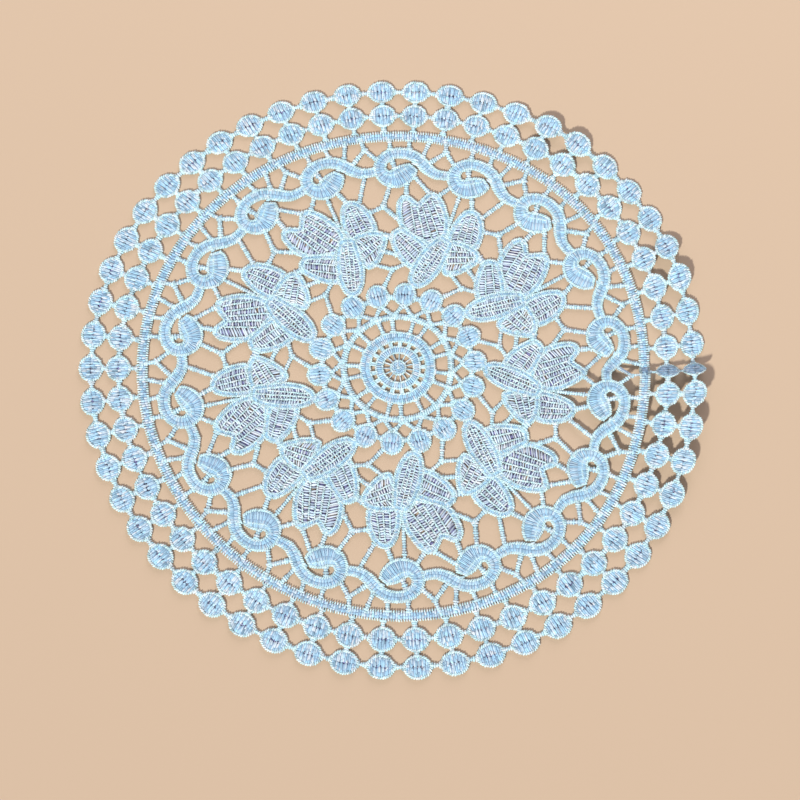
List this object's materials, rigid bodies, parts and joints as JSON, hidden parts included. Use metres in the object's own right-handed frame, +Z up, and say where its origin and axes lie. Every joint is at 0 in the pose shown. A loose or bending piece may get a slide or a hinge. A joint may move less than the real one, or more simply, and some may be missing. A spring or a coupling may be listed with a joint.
{
  "type": "lace placemat",
  "caption": "Round lace placemat with a rosette, leafy flowers, scrolls and a double border of oval beads, lying flat with a soft crease at one side.",
  "frame": {"origin": "under the centre of the rosette, on the face that lies on the table", "axes": "+Z up out of the mat's upper face; +Y away from the viewer of the picture and +X to the right; the crease runs from the centre towards +X"},
  "size_m": [0.295, 0.2987, 0.0112],
  "materials": {
    "lace_cotton": "soft matte thread, pale blue-white"
  },
  "bodies": {
    "root": {"lace_mat": "lace_cotton"}
  },
  "joints": []
}
